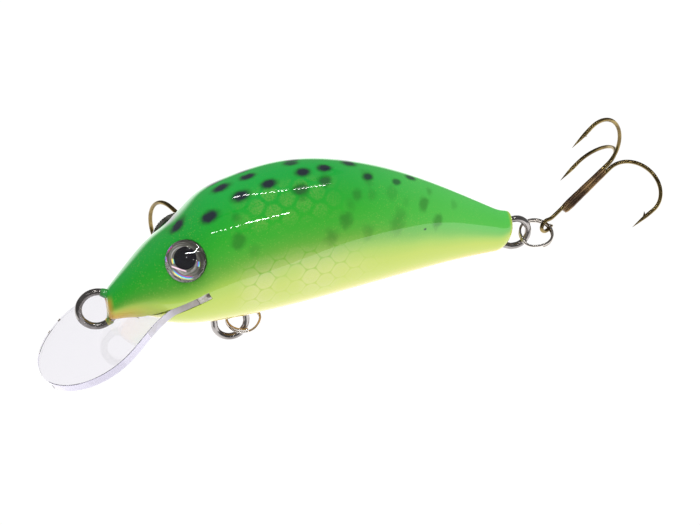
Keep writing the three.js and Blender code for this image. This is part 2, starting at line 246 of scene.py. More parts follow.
def smooth_curve(points, per_span=6):
    """A Catmull-Rom curve through the points."""
    points = [np.asarray(p, float) for p in points]
    padded = [2 * points[0] - points[1], *points, 2 * points[-1] - points[-2]]
    out = []
    for a, b, c, d in zip(padded, padded[1:], padded[2:], padded[3:]):
        for step in range(per_span):
            t = step / per_span
            out.append(0.5 * (2 * b + (c - a) * t + (2 * a - 5 * b + 4 * c - d) * t ** 2
                              + (3 * b - a - 3 * c + d) * t ** 3))
    out.append(points[-1])
    return out


def rounded_route(corners, step_angle=0.09):
    """Straight runs in the plane y = 0 with round bends: corners are (x, z, bend radius), in mm."""
    points = []
    for index, (x, z, radius) in enumerate(corners):
        corner = np.array([x, 0.0, z])
        if index in (0, len(corners) - 1):
            points.append(corner)
            continue
        behind = np.array([corners[index - 1][0], 0, corners[index - 1][1]]) - corner
        ahead = np.array([corners[index + 1][0], 0, corners[index + 1][1]]) - corner
        behind /= np.linalg.norm(behind)
        ahead /= np.linalg.norm(ahead)
        half = math.acos(np.clip(behind @ ahead, -1, 1)) / 2
        turn = math.pi - 2 * half
        middle = (behind + ahead) / np.linalg.norm(behind + ahead)
        centre = corner + middle * radius / math.sin(half)
        start = corner + behind * radius / math.tan(half) - centre
        end = corner + ahead * radius / math.tan(half) - centre
        steps = max(3, round(turn / step_angle))
        for step in range(steps + 1):
            t = step / steps
            points.append(centre + (math.sin((1 - t) * turn) * start
                                    + math.sin(t * turn) * end) / math.sin(turn))
    kept = [points[0]]
    for point in points[1:]:
        if np.linalg.norm(point - kept[-1]) > 0.02:
            kept.append(point)
    return kept


def frame_of(x_axis, near_z):
    """Columns x, y, z of a turned frame from its x direction and a direction near its z."""
    x = np.asarray(x_axis, float) / np.linalg.norm(x_axis)
    y = np.cross(near_z, x)
    y /= np.linalg.norm(y)
    return np.column_stack([x, y, np.cross(x, y)])


# ------------------------------------------------------------------ body surface

# Distance along X, back height, belly height, half width, in mm, as in the CAD part.
STATIONS = np.array([
    (1.1, 1.9, -1.5, 1.55), (3.6, 4.35, -1.5, 2.9), (6.6, 7.0, -2.35, 4.6), (9.6, 8.95, -3.15, 5.7),
    (12.6, 11.5, -3.5, 6.25), (16.6, 13.2, -3.55, 6.4), (22.6, 14.2, -3.3, 6.25),
    (30.1, 13.35, -2.7, 5.4), (38.1, 10.4, -2.0, 4.0), (45.1, 6.55, -1.6, 2.45), (51.1, 2.9, -1.55, 1.25),
])
POWER = 2.13
WIDEST = 0.48
END_ROUND = 0.6


def spline_slopes(values):
    """Slopes of the smoothest curve through the stations, with straight-run slopes at both ends."""
    xs = STATIONS[:, 0]
    span = np.diff(xs)
    rise = np.diff(values) / span
    matrix = np.eye(len(xs))
    known = np.array([rise[0], *[0.0] * (len(xs) - 2), rise[-1]])
    for i in range(1, len(xs) - 1):
        matrix[i, i - 1:i + 2] = 1 / span[i - 1], 2 / span[i - 1] + 2 / span[i], 1 / span[i]
        known[i] = 3 * (rise[i - 1] / span[i - 1] + rise[i] / span[i])
    return np.linalg.solve(matrix, known)


SLOPES = np.column_stack([spline_slopes(STATIONS[:, c]) for c in range(4)])


def along(column, x):
    """A smooth curve through one column of the stations."""
    xs, values, slopes = STATIONS[:, 0], STATIONS[:, column], SLOPES[:, column]
    i = np.clip(np.searchsorted(xs, x) - 1, 0, len(xs) - 2)
    span = xs[i + 1] - xs[i]
    t = (x - xs[i]) / span
    return (values[i] * (2 * t ** 3 - 3 * t ** 2 + 1) + slopes[i] * span * (t ** 3 - 2 * t ** 2 + t)
            + values[i + 1] * (3 * t ** 2 - 2 * t ** 3) + slopes[i + 1] * span * (t ** 3 - t ** 2))


# Where the tail's lower corner starts to round, over what length, and how far it would rise;
# then the same for the small flare of its upper edge.
CORNER_X, CORNER_LENGTH, CORNER_RISE = 48.9, 2.4, 3.0
FLARE_X, FLARE_LENGTH, FLARE_RISE = 49.0, 2.1, 0.5


def section(x):
    """Top, bottom, widest level and half width of the body at x, in mm."""
    top, bottom, width = along(1, x), along(2, x), along(3, x)
    corner = np.clip((x - CORNER_X) / CORNER_LENGTH, 0, 0.95)
    bottom = bottom + CORNER_RISE * (1 - np.sqrt(1 - corner ** 2))
    flare = np.clip((x - FLARE_X) / FLARE_LENGTH, 0, 1)
    top = top + FLARE_RISE * flare ** 2
    middle = bottom + WIDEST * (top - bottom)
    return top, bottom, middle, width


def end_scale(x):
    depth = np.clip(np.minimum(x - STATIONS[0, 0], STATIONS[-1, 0] - x), 0, END_ROUND) / END_ROUND
    drop = np.where(x < 25, 0.16, 0.07)
    return 1 - drop * (1 - np.sqrt(1 - (1 - depth) ** 2))


def surface(x, angle):
    """Body points, in mm, at stations x and angles from +Y towards +Z."""
    top, bottom, middle, width = section(x)
    c, s = np.cos(angle), np.sin(angle)
    across = np.sign(c) * np.abs(c) ** (2 / POWER)
    rise = np.sign(s) * np.abs(s) ** (2 / POWER)
    scale = end_scale(x)
    height = np.where(s > 0, top - middle, middle - bottom)
    return np.stack([x + 0 * angle, width * across * scale, middle + height * rise * scale], -1)


def flank(x, z, side):
    """The flank point at x and z, in mm, and the way it faces."""
    def point(px, pz):
        top, bottom, middle, width = section(np.array([px]))
        height = (top if pz > middle else bottom) - middle
        reach = 1 - abs((pz - middle) / height) ** POWER
        return np.array([px, side * float(width[0] * reach[0] ** (1 / POWER)), pz])
    d_x = point(x + 0.8, z) - point(x - 0.8, z)
    d_z = point(x, z + 0.8) - point(x, z - 0.8)
    normal = np.cross(d_z, d_x) * side
    return point(x, z), normal / np.linalg.norm(normal)


# ------------------------------------------------------------------ body paint

# Dark spots on the left side, as (x, z, strength, size), in mm; z counts up from the origin.
# The right side has the same airbrush pattern, moved a little. Blotches are fainter and softer.
SPOTS = [
    (10.1, 9.2, 1.0, 1.35), (13.4, 10.6, 1.0, 1.25), (15.5, 12.8, 1.0, 1.2), (18.7, 13.6, 1.0, 1.0),
    (17.3, 12.3, 1.0, 1.2), (20.7, 13.1, 1.0, 1.05), (24.9, 13.6, 1.0, 1.05), (27.6, 13.5, 1.0, 1.05),
    (30.9, 13.1, 0.9, 1.1), (32.6, 11.8, 0.85, 0.85), (36.1, 10.5, 0.65, 0.75), (38.3, 10.2, 0.8, 0.9),
    (24.0, 14.2, 0.8, 1.0), (24.1, 12.2, 0.5, 1.0), (27.2, 12.5, 0.5, 0.9), (38.9, 4.6, 0.9, 0.22),
]
BLOTCHES = [
    (16.2, 10.4, 0.7, 0.8), (16.2, 8.0, 0.9, 1.1), (30.8, 10.5, 0.8, 1.0), (29.6, 9.6, 0.4, 0.9),
    (28.9, 8.2, 0.9, 1.2), (26.8, 6.4, 0.7, 1.3), (31.5, 6.2, 0.5, 1.1), (35.2, 9.6, 0.35, 1.0),
    (35.4, 6.6, 0.6, 1.6), (40.2, 8.5, 0.6, 0.8), (39.1, 7.5, 0.9, 1.0), (43.2, 6.4, 0.4, 0.8),
    (40.6, 5.1, 0.9, 1.0), (32.5, 10.0, 0.4, 0.8), (36.8, 8.3, 0.25, 0.8), (24.1, 12.2, 0.8, 1.2),
    (27.2, 12.5, 0.7, 1.1), (32.6, 11.8, 0.6, 1.2), (10.1, 9.3, 0.5, 1.7), (17.6, 6.6, 0.3, 1.0),
]


def spot_field(points, spots, long, short, seed):
    """The least distance to any spot, 1 at its rim, and that spot's strength."""
    rng = np.random.default_rng(seed)
    nearest = np.full(len(points), 9.0)
    strength = np.zeros(len(points))
    for x, z, power, size in spots:
        top, bottom, middle, width = (float(v[0]) for v in section(np.array([x])))
        reach = max(0.0, 1 - abs((min(z, top) - middle) / (top - middle)) ** POWER)
        for side in (-1, 1):
            shift = rng.uniform(-0.5, 0.5, 2) if side > 0 else (0, 0)
            centre = np.array([x + shift[0], side * width * reach ** (1 / POWER), z + 0.3 * shift[1]])
            offset = points - centre
            lean = offset[:, 2] - 0.12 * offset[:, 0]
            distance = np.sqrt((offset[:, 0] / long) ** 2 + (offset[:, 1] / short) ** 2
                               + (lean / short) ** 2) / size
            closer = distance < nearest
            nearest[closer] = distance[closer]
            strength[closer] = power
    return nearest, strength


SCALE_COLUMN, SCALE_ROW = 1.825, 2.22
SCALE_SHIFT = (3.325, 0.35, 0.0)


def body_paint():
    s = Shader("body_paint")
    height = s.attribute("height")
    x = s.times(s.split(s.place())[0], 1000.0)
    mist = s.noise(260.0, 3.0)
    level = s.math("ADD", height, s.times(s.math("SUBTRACT", mist, 0.5), 0.05))
    colour = s.ramp(level, [
        (0.00, srgb(248, 190, 84)), (0.045, srgb(242, 206, 96)), (0.10, srgb(224, 224, 100)),
        (0.17, srgb(210, 226, 96)), (0.30, srgb(202, 223, 92)), (0.40, srgb(182, 216, 88)),
        (0.45, srgb(158, 205, 84)), (0.50, srgb(128, 190, 72)), (0.55, srgb(104, 181, 62)),
        (0.60, srgb(84, 179, 56)), (0.66, srgb(64, 178, 50)), (0.74, srgb(46, 175, 44)),
        (0.84, srgb(32, 168, 48)), (1.00, srgb(28, 163, 66)),
    ])
    tail = s.step(x, 25.0, 47.0)
    tinted = s.mix(s.step(height, 0.3, 0.6), colour, srgb(120, 226, 108))
    colour = s.mix(s.times(tail, 0.45), colour, tinted)
    head = s.times(s.step(x, 16.0, 8.0), s.step(height, 0.35, 0.6))
    colour = s.mix(s.times(head, 0.35), colour, srgb(22, 132, 20))
    # The lacquer runs thin and yellow at the mouth end.
    lip = s.times(s.step(x, 6.5, 1.2), s.step(height, 0.5, 0.15))
    colour = s.mix(s.times(lip, 0.8), colour, srgb(244, 178, 66))
    lip = s.times(s.step(x, 1.9, 1.2), s.step(height, 0.95, 0.7))
    colour = s.mix(s.times(lip, 0.75), colour, srgb(206, 150, 60))
    rim = s.step(x, 50.6, 51.15)
    colour = s.mix(s.times(rim, 0.6), colour, srgb(220, 196, 70))
    # Scales: rounded six-sided cells in offset columns, each with a paler ring and a dark outline.
    flank_map = s.add("ShaderNodeUVMap", uv_map="flank").outputs[0]
    flank_map = s.vector("SUBTRACT", flank_map, SCALE_SHIFT)
    pitch = (2 * SCALE_COLUMN, SCALE_ROW, 1.0)
    half_pitch = (SCALE_COLUMN, SCALE_ROW / 2, 0.5)
    near = None
    for shift in ((0.0, 0.0, 0.0), half_pitch):
        cell = s.vector("MODULO", s.vector("ADD", flank_map, shift), pitch)
        cell = s.vector("ABSOLUTE", s.vector("SUBTRACT", cell, half_pitch))
        a, b, _ = s.split(cell)
        slant = s.math("ADD", s.times(a, 0.75 * SCALE_ROW / SCALE_COLUMN),
                       s.times(b, 0.5))
        distance = s.add("ShaderNodeMath", slant, b, 0.8, operation="SMOOTH_MAX").outputs[0]
        near = distance if near is None else s.math("MINIMUM", near, distance)
    reach_in = SCALE_ROW / 2
    cell = s.step(near, reach_in + 0.04, reach_in - 0.14)
    ring = s.times(cell, s.step(near, reach_in - 0.5, reach_in - 0.2))
    patchy = s.step(s.noise(170.0, 1.0), 0.36, 0.56, 0.35, 1.0)
    low_band = s.times(s.step(height, 0.10, 0.22), s.step(height, 0.58, 0.42))
    reach = s.times(s.step(x, 14.5, 18.0), s.step(x, 36.0, 22.0))
    strength = s.times(s.times(low_band, reach), patchy)
    glitter = s.times(s.times(s.step(height, 0.66, 0.76), s.step(height, 0.97, 0.9)),
                      s.times(s.step(x, 14.5, 17.5), s.step(x, 31.0, 23.0)))
    grain = s.step(s.noise(5000.0, 1.0), 0.38, 0.62, 0.3, 1.0)
    upper_disc = s.step(near, reach_in - 0.05, reach_in - 0.35)
    upper_cell = s.times(s.times(glitter, upper_disc),
                         s.times(grain, patchy))
    colour = s.mix(s.times(upper_cell, 0.36), colour, srgb(140, 184, 92))
    outline = s.times(s.math("SUBTRACT", 1.0, cell), strength)
    edge_tone = s.mix(s.step(height, 0.22, 0.45), srgb(184, 208, 84), srgb(120, 176, 66))
    colour = s.mix(s.times(outline, 0.5), colour, edge_tone)
    pale = s.mix(s.step(height, 0.30, 0.52), srgb(222, 228, 144), srgb(166, 198, 112))
    within = s.times(s.times(cell, strength), s.math("MULTIPLY_ADD", grain, 0.4, 0.6))
    colour = s.mix(s.times(within, 0.75), colour, pale)
    colour = s.mix(s.times(s.times(ring, strength), 0.25), colour, pale)
    # Fine glitter under the lacquer.
    fleck = s.step(s.split(s.cells(9000.0))[0], 0.86, 0.98)
    shine = s.step(s.noise(90.0, 2.0), 0.42, 0.66, 0.02, 0.12)
    colour = s.mix(s.times(fleck, shine), colour, srgb(214, 226, 120))
    # Airbrushed spots.
    blur = s.times(s.math("SUBTRACT", s.noise(1500.0, 2.0), 0.5), 0.5)
    patch = s.times(s.math("SUBTRACT", s.noise(750.0, 3.0), 0.5), 1.7)
    blotch = s.step(s.math("ADD", s.attribute("blotch"), patch), 1.35, 0.3)
    blotch = s.times(blotch, s.attribute("blotch_strength"))
    colour = s.mix(s.times(blotch, 0.55), colour, srgb(40, 96, 34))
    fringe = s.step(s.math("ADD", s.attribute("spot"), blur), 1.7, 0.9)
    fringe = s.times(fringe, s.attribute("spot_strength"))
    colour = s.mix(s.times(fringe, 0.5), colour, srgb(26, 96, 30))
    dark = s.step(s.math("ADD", s.attribute("spot"), blur), 1.3, 0.55)
    dark = s.times(dark, s.attribute("spot_strength"))
    colour = s.mix(s.times(dark, 0.93), colour, srgb(34, 24, 52))
    s.bump(s.cells(3500.0, output="Distance"), 0.04, 0.00002)
    return s.set(Base_Color=colour, Roughness=s.step(fleck, 0, 1, 0.40, 0.28), Specular_IOR_Level=0.0,
                 Coat_Weight=1.0, Coat_Roughness=0.02, Coat_IOR=1.5)


def build_body():
    stations, turns = 420, 280
    t = np.linspace(0, 1, stations)
    # Stations crowd a little towards both ends.
    share = 0.75 * t + 0.25 * (0.5 - 0.5 * np.cos(np.pi * t))
    x = STATIONS[0, 0] + (STATIONS[-1, 0] - STATIONS[0, 0]) * share
    angle = np.linspace(0, 2 * np.pi, turns, endpoint=False)
    grid = surface(x[:, None] + 0 * angle[None], angle[None] + 0 * x[:, None])
    vertices = grid.reshape(-1, 3)
    body = make("body_shell", vertices * MM, tube_faces(stations, turns), body_paint(), None)
    mesh = body.data
    # The flank map runs along X and round the section, in mm from the widest level.
    girth = np.linalg.norm(np.diff(grid, axis=1, append=grid[:, :1]), axis=2)
    round_up = np.concatenate([np.zeros((stations, 1)), np.cumsum(girth, axis=1)[:, :-1]], axis=1)
    whole = girth.sum(axis=1, keepdims=True)
    upper = girth[:, :turns // 2].sum(axis=1, keepdims=True)
    quarter = np.arange(turns)[None] * 4 // turns
    from_left = np.where(quarter == 0, round_up,
                         np.where(quarter == 3, round_up - whole, upper - round_up))
    flat = np.stack([vertices[:, 0] + 200, from_left.reshape(-1) + 200], -1)
    loops = np.empty(len(mesh.loops), np.int32)
    mesh.loops.foreach_get("vertex_index", loops)
    layer = mesh.uv_layers.new(name="flank")
    layer.data.foreach_set("uv", flat[loops].astype(np.float32).ravel())
    return body


def mark_body(mesh):
    """Height in the section and nearness to the spots, for the paint."""
    vertices = np.empty(len(mesh.vertices) * 3)
    mesh.vertices.foreach_get("co", vertices)
    vertices = vertices.reshape(-1, 3) / MM
    top, bottom, _, _ = section(vertices[:, 0])
    values = {"height": (vertices[:, 2] - bottom) / (top - bottom)}
    values["spot"], values["spot_strength"] = spot_field(vertices, SPOTS, 0.85, 0.55, 3)
    values["blotch"], values["blotch_strength"] = spot_field(vertices, BLOTCHES, 0.75, 0.9, 4)
    for name, data in values.items():
        mesh.attributes.new(name, "FLOAT", "POINT").data.foreach_set("value", data.astype(np.float32))


# ------------------------------------------------------------------ bill

BILL_ANGLE = math.radians(23.2)
BILL_POINT = np.array([9.0, 0.0, 1.07])
BILL_THICKNESS = 0.9
# Along the bill from its root: the end of the bond in the head, and of the frosted edge.
BONDED_END, FROSTED_END = 2.9, 4.9
# A bubble in the slot's filler, at both ends.
BUBBLE = (12.05, 6.2, 2.0)
bill_axes = np.column_stack([
    (-math.cos(BILL_ANGLE), 0, -math.sin(BILL_ANGLE)), (0, -1, 0),
    (-math.sin(BILL_ANGLE), 0, math.cos(BILL_ANGLE))])


def bill_place(points):
    return (BILL_POINT + np.asarray(points) @ bill_axes.T) * MM


def bezier(a, b, c, d, steps):
    t = np.linspace(0, 1, steps, endpoint=False)[:, None]
    a, b, c, d = (np.array(p, float) for p in (a, b, c, d))
    return (1 - t) ** 3 * a + 3 * t * (1 - t) ** 2 * b + 3 * t ** 2 * (1 - t) * c + t ** 3 * d


def bill_outline():
    tip = np.linspace(-math.pi / 2, math.pi / 2, 60, endpoint=False)
    arc = np.column_stack([10.7 + 7.5 * np.cos(tip), 10 * np.sin(tip)])
    lower = bezier((1.2, -4.85), (5, -5.4), (6.6, -10), (10.7, -10), 24)
    upper = bezier((10.7, 10), (6.6, 10), (5, 5.4), (1.2, 4.85), 24)
    rear = np.linspace(0, 1, 20, endpoint=False)[:, None]
    rear = ((1 - rear) ** 2 * np.array([-1.8, 5.72]) + 2 * rear * (1 - rear) * np.array([-4.1, 0])
            + rear ** 2 * np.array([-1.8, -5.72]))
    return np.vstack([[(-1.8, -5.72), (-0.3, -5.3)], lower, arc, upper, [(1.2, 4.85), (-0.3, 5.3)], rear])


def build_bill(material, frosted_and_shaded):
    outline = bill_outline()
    edge = np.roll(outline, -1, axis=0) - np.roll(outline, 1, axis=0)
    outward = np.column_stack([edge[:, 1], -edge[:, 0]]) / np.linalg.norm(edge, axis=1)[:, None]
    layers = [(0.10, 0.0), (0.03, -0.03), (0.0, -0.10), (0.0, -BILL_THICKNESS + 0.10),
              (0.03, -BILL_THICKNESS + 0.03), (0.10, -BILL_THICKNESS)]
    vertices = []
    for inset, height in layers:
        ring = outline - outward * inset
        vertices += [(*p, height) for p in ring]
    count = len(outline)
    faces = [tuple(range(count))]
    for layer in range(len(layers) - 1):
        for i in range(count):
            j = (i + 1) % count
            a, b = layer * count + i, layer * count + j
            faces.append((b, a, a + count, b + count))
    faces.append(tuple(range((len(layers) - 1) * count, len(layers) * count))[::-1])
    bill = make("bill_plate", bill_place(vertices), faces, material, "lure_body", smooth=False)
    # The stretch of edge that is bonded into the head is frosted, and greyed with painted shade.
    bill.data.materials.append(frosted_and_shaded)
    for face in bill.data.polygons:
        sideways = abs(face.normal @ Vector(bill_axes[:, 2])) < 0.9
        if sideways and (face.center / MM - Vector(BILL_POINT)) @ Vector(bill_axes[:, 0]) < FROSTED_END:
            face.material_index = 1
    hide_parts("diving_bill")
    return bill


# ------------------------------------------------------------------ other materials

def clear_plastic(name, tint, ior=1.5, roughness=0.015, depth=0.0):
    """Clear resin; depth is how strongly its body takes up light, per metre."""
    s = Shader(name)
    if depth:
        absorb = s.add("ShaderNodeVolumeAbsorption", (0.42, 0.33, 0.72, 1.0), depth)
        output = s.tree.nodes.get("Material Output")
        s.tree.links.new(absorb.outputs[0], output.inputs["Volume"])
    haze = s.noise(900.0, 2.0)
    return s.set(Base_Color=s.mix(haze, tint, srgb(250, 248, 253)), Transmission_Weight=1.0, IOR=ior,
                 Roughness=s.step(haze, 0.3, 0.7, roughness, roughness * 2))


def metal(name, light, dark, rough=(0.18, 0.32), grain=1600.0):
    s = Shader(name)
    streak = s.noise(grain, 1.0)
    tone = s.noise(500.0, 2.0)
    s.bump(streak, 0.03, 0.000003)
    return s.set(Base_Color=s.mix(s.step(tone, 0.3, 0.7), dark, light), Metallic=1.0,
                 Roughness=s.step(streak, 0.3, 0.7, rough[0], rough[1]))


steel = metal("steel_wire", srgb(160, 156, 154), srgb(112, 107, 105), rough=(0.10, 0.16))
ring_steel = metal("ring_steel", srgb(206, 200, 194), srgb(160, 152, 144), rough=(0.06, 0.12))
bronze = metal("bronze_wire", srgb(136, 118, 74), srgb(88, 74, 48), rough=(0.14, 0.22))
lead = metal("lead", srgb(126, 126, 130), srgb(84, 84, 88), rough=(0.45, 0.6))
solder = metal("bronze_solder", srgb(140, 112, 78), srgb(84, 66, 54), rough=(0.25, 0.45))
clear_bill = clear_plastic("clear_bill", srgb(253, 252, 255), depth=17.0)
clear_lens = clear_plastic("clear_lens", srgb(250, 250, 252))


def bonded_edge():
    s = Shader("bonded_edge")
    reach = s.vector("DOT_PRODUCT", s.vector("SUBTRACT", s.millimetres(), tuple(BILL_POINT)),
                     tuple(bill_axes[:, 0]))
    streak = s.noise(900.0, 3.0)
    # Painted shade: the edge greys deeper in the head, where less light reaches into the slot; the streaks
    # are frosting.
    tone = s.ramp(s.step(reach, -3.0, BONDED_END), [(0.0, srgb(172, 164, 160)), (0.55, srgb(170, 164, 164)),
                                                    (0.8, srgb(196, 190, 198)), (1.0, srgb(226, 222, 236))])
    s.bump(streak, 0.1, 0.00003)
    return s.set(Base_Color=s.mix(s.step(streak, 0.4, 0.65, 0.0, 0.35), tone, srgb(206, 200, 196)),
                 Roughness=s.step(streak, 0.3, 0.7, 0.3, 0.45), Specular_IOR_Level=0.3)


def slot_epoxy():
    """Cloudy filler behind the bill, with a dark bubble at each end."""
    s = Shader("slot_epoxy")
    streak = s.noise(2200.0, 3.0)
    across = s.vector("ABSOLUTE", s.millimetres())
    bubble = s.step(s.vector("DISTANCE", across, BUBBLE), 0.42, 0.24)
    tone = s.mix(s.step(streak, 0.42, 0.6), srgb(176, 170, 160), srgb(210, 206, 198))
    s.bump(streak, 0.2, 0.00004)
    return s.set(Base_Color=s.mix(s.times(bubble, 0.9), tone, srgb(70, 54, 44)),
                 Roughness=s.step(streak, 0.3, 0.7, 0.25, 0.45))


# ------------------------------------------------------------------ stage

def build_stage():
    s = Shader("floor_white")
    path = s.add("ShaderNodeLightPath").outputs
    mirrored = s.times(path["Is Glossy Ray"],
                       s.math("SUBTRACT", 1.0, path["Is Transmission Ray"]))
    glow = s.math("MULTIPLY_ADD", mirrored, 0.9, 1.03)
    s.set(Base_Color=(0, 0, 0, 1), Roughness=0.9, Specular_IOR_Level=0.0,
          Emission_Color=(1, 1, 1, 1), Emission_Strength=glow)
    s.owner.cycles.emission_sampling = "NONE"
    # The front edge leans by slant, so its mirror image crosses the flank as a rising line.
    size, low, front, slant = 3.0, -0.030, -0.041, 0.55
    corners = [(-size, front + slant * size, low), (size, front - slant * size, low),
               (size, size, low), (-size, size, low)]
    floor = make("floor", corners, [(0, 1, 2, 3)], s.owner, None, smooth=False)

    # The room: white to the eye and through clear parts, dim and uneven in the gloss.
    w = Shader("studio", world=True)
    direction = w.split(w.add("ShaderNodeTexCoord").outputs["Generated"])
    path = w.add("ShaderNodeLightPath").outputs
    lit = w.step(direction[2], -0.3, 1.0, 0.78, 0.98)
    low_back = w.times(w.step(direction[1], 0.74, 0.95), w.step(direction[2], 0.30, 0.05))
    gloss = w.math("MULTIPLY_ADD", low_back, 2.0, 0.24)
    gloss = w.math("MAXIMUM", gloss, w.step(direction[2], -0.2, -0.9, 0.0, 0.8))
    strength = w.add("ShaderNodeMix", path["Is Glossy Ray"], data_type="FLOAT")
    w.put(strength.inputs[2], lit)
    w.put(strength.inputs[3], gloss)
    seen = w.math("MAXIMUM", path["Is Camera Ray"], path["Is Transmission Ray"])
    final = w.add("ShaderNodeMix", seen, data_type="FLOAT")
    w.put(final.inputs[2], strength.outputs[0])
    w.put(final.inputs[3], 1.0)
    background = w.tree.nodes.get("Background")
    background.inputs[0].default_value = (1, 1, 1, 1)
    w.put(background.inputs[1], final.outputs[0])
    w.owner.cycles.sampling_method = "NONE"
    scene.world = w.owner
    # Light crosses the clear bill by many turns inside the plate.
    scene.cycles.glossy_bounces = scene.cycles.transmission_bounces = scene.cycles.max_bounces = 24


def area_light(name, place, size, power, towards=(0.02, 0, 0.004)):
    data = bpy.data.lights.new(name, "AREA")
    data.shape = "SQUARE"
    data.size = size
    data.energy = power
    light = bpy.data.objects.new(name, data)
    light.location = place
    light.rotation_euler = (Vector(towards) - Vector(place)).to_track_quat("-Z", "Y").to_euler()
    scene.collection.objects.link(light)
    return light


def only_in_gloss(piece):
    piece.visible_camera = piece.visible_diffuse = False
    piece.visible_transmission = piece.visible_shadow = False


def glowing(name, strength):
    s = Shader(name)
    s.set(Base_Color=(0, 0, 0, 1), Emission_Color=(1, 1, 1, 1), Emission_Strength=strength)
    return s.owner


def led_strip(name, path, share, lamps, along, across, stagger, strength, aside=0.0):
    """Small glowing tiles along a smooth path, seen only in the gloss; sizes in mm."""
    curve = np.array(smooth_curve(path, 24))
    last = len(curve) - 1
    vertices, faces = [], []
    for index in range(lamps):
        at = (share[0] + (share[1] - share[0]) * (index + 0.5) / lamps) * last
        near = min(int(at), last - 1)
        step = curve[near + 1] - curve[near]
        place = curve[near] + step * (at - near)
        step = step / np.linalg.norm(step)
        side = np.cross(step, place)
        side /= np.linalg.norm(side)
        place = place + side * (aside + stagger * (1 if index % 2 else -1))
        faces.append(tuple(range(len(vertices), len(vertices) + 4)))
        vertices += [place + side * across * j + step * along * i
                     for i, j in ((-0.5, -0.5), (0.5, -0.5), (0.5, 0.5), (-0.5, 0.5))]
    only_in_gloss(make(name, np.array(vertices) * MM, faces, glowing(name, strength), None, smooth=False))


def lamp_arc(name, path, radius, strength, receivers):
    """A thin glowing arc overhead, seen only in the gloss of the eye domes."""
    vertices, faces = tube_data(np.array(smooth_curve(path, 12)) * MM, radius * MM, 6)
    arc = make(name, vertices, faces, glowing(name, strength), None)
    arc.light_linking.receiver_collection = receivers
    only_in_gloss(arc)


# ------------------------------------------------------------------ build

scene.view_settings.view_transform = "Standard"
build_stage()
softbox = area_light("softbox_top", (-0.1, -0.15, 0.5), 0.5, 0.7)
softbox.visible_glossy = False
softbox.visible_transmission = False
TOP_PATH = [(-64, -2, 352), (-34, -24, 358), (14, -114, 345), (77, -164, 319), (144, -176, 293),
            (197, -156, 277), (216, -140, 268)]
FRONT_PATH = [(-130, -240, 226), (-114, -254, 220), (9, -306, 189), (52, -319, 163), (102, -317, 147),
              (112, -316, 143)]
led_strip("led_top", TOP_PATH, (0.14, 0.83), 22, 7.0, 6.0, 1.6, 45.0)
led_strip("led_front", FRONT_PATH, (0.04, 0.88), 22, 7.0, 6.0, 1.4, 45.0)
led_strip("led_top_rim", TOP_PATH, (0.42, 0.94), 60, 8.0, 2.5, 0.0, 7.0, -14.0)

body = build_body()


def cut(name, vertices, faces):
    """Cuts a closed shape out of the body."""
    cutter = make(name, vertices, faces, body.data.materials[0], None, smooth=False)
    modifier = body.modifiers.new(name, "BOOLEAN")
    modifier.object = cutter
    modifier.solver = "EXACT"
    return cutter


def box_data(low, high, place):
    corners = [(x, y, z) for x in (low[0], high[0]) for y in (low[1], high[1]) for z in (low[2], high[2])]
    faces = [(0, 1, 3, 2), (4, 6, 7, 5), (0, 4, 5, 1), (2, 3, 7, 6), (0, 2, 6, 4), (1, 5, 7, 3)]
    return place(corners), faces


EYE_X, EYE_Z, EYE_R = 10.0, 6.28, 2.4
EYE_DOME, EYE_SEAT, PUPIL_R, PUPIL_RISE, CUP_TOP, DOME_GAIN = 1.2, -0.35, 1.14, 0.3, 0.08, 1.16

slot = box_data((-3.35, -10, -BILL_THICKNESS - 0.02), (26.65, 10, 0.02), bill_place)
cutters = [cut("slot_cutter", *slot)]
eye_frames = {}
for side_name, side in (("left", -1), ("right", 1)):
    centre, outward = flank(EYE_X, EYE_Z, side)
    forward = np.array([-1.0, 0, 0])
    x_axis = forward - outward * (forward @ outward)
    x_axis /= np.linalg.norm(x_axis)
    axes = np.column_stack([x_axis, np.cross(outward, x_axis), outward])
    eye_frames[side_name] = (centre, axes)
    socket = tube_data([centre + outward * EYE_SEAT, centre + outward * 3], EYE_R + 0.02, 64)
    cutters.append(cut(f"{side_name}_socket", np.array(socket[0]) * MM, socket[1]))
bpy.context.view_layer.update()
cut_mesh = bpy.data.meshes.new_from_object(body.evaluated_get(bpy.context.evaluated_depsgraph_get()))
body.modifiers.clear()
body.data = cut_mesh
mark_body(cut_mesh)
for cutter in cutters:
    bpy.data.objects.remove(cutter)
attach(body, "lure_body")
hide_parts("body_left_half", "body_right_half")

build_bill(clear_bill, bonded_edge())
NODES["bill_slot_epoxy"].data.materials[0] = slot_epoxy()
NODES["belly_ballast"].data.materials[0] = lead


def lathe(profile, centre, axes, sides=72):
    """A turned shape round the frame's z axis; profile is (radius, height), from pole to pole."""
    vertices = []
    angles = np.linspace(0, 2 * np.pi, sides, endpoint=False)
    for radius, height in profile:
        ring = np.column_stack([radius * np.cos(angles), radius * np.sin(angles), np.full(sides, height)])
        vertices += list((centre + ring @ axes.T) * MM)
    return vertices, tube_faces(len(profile), sides)


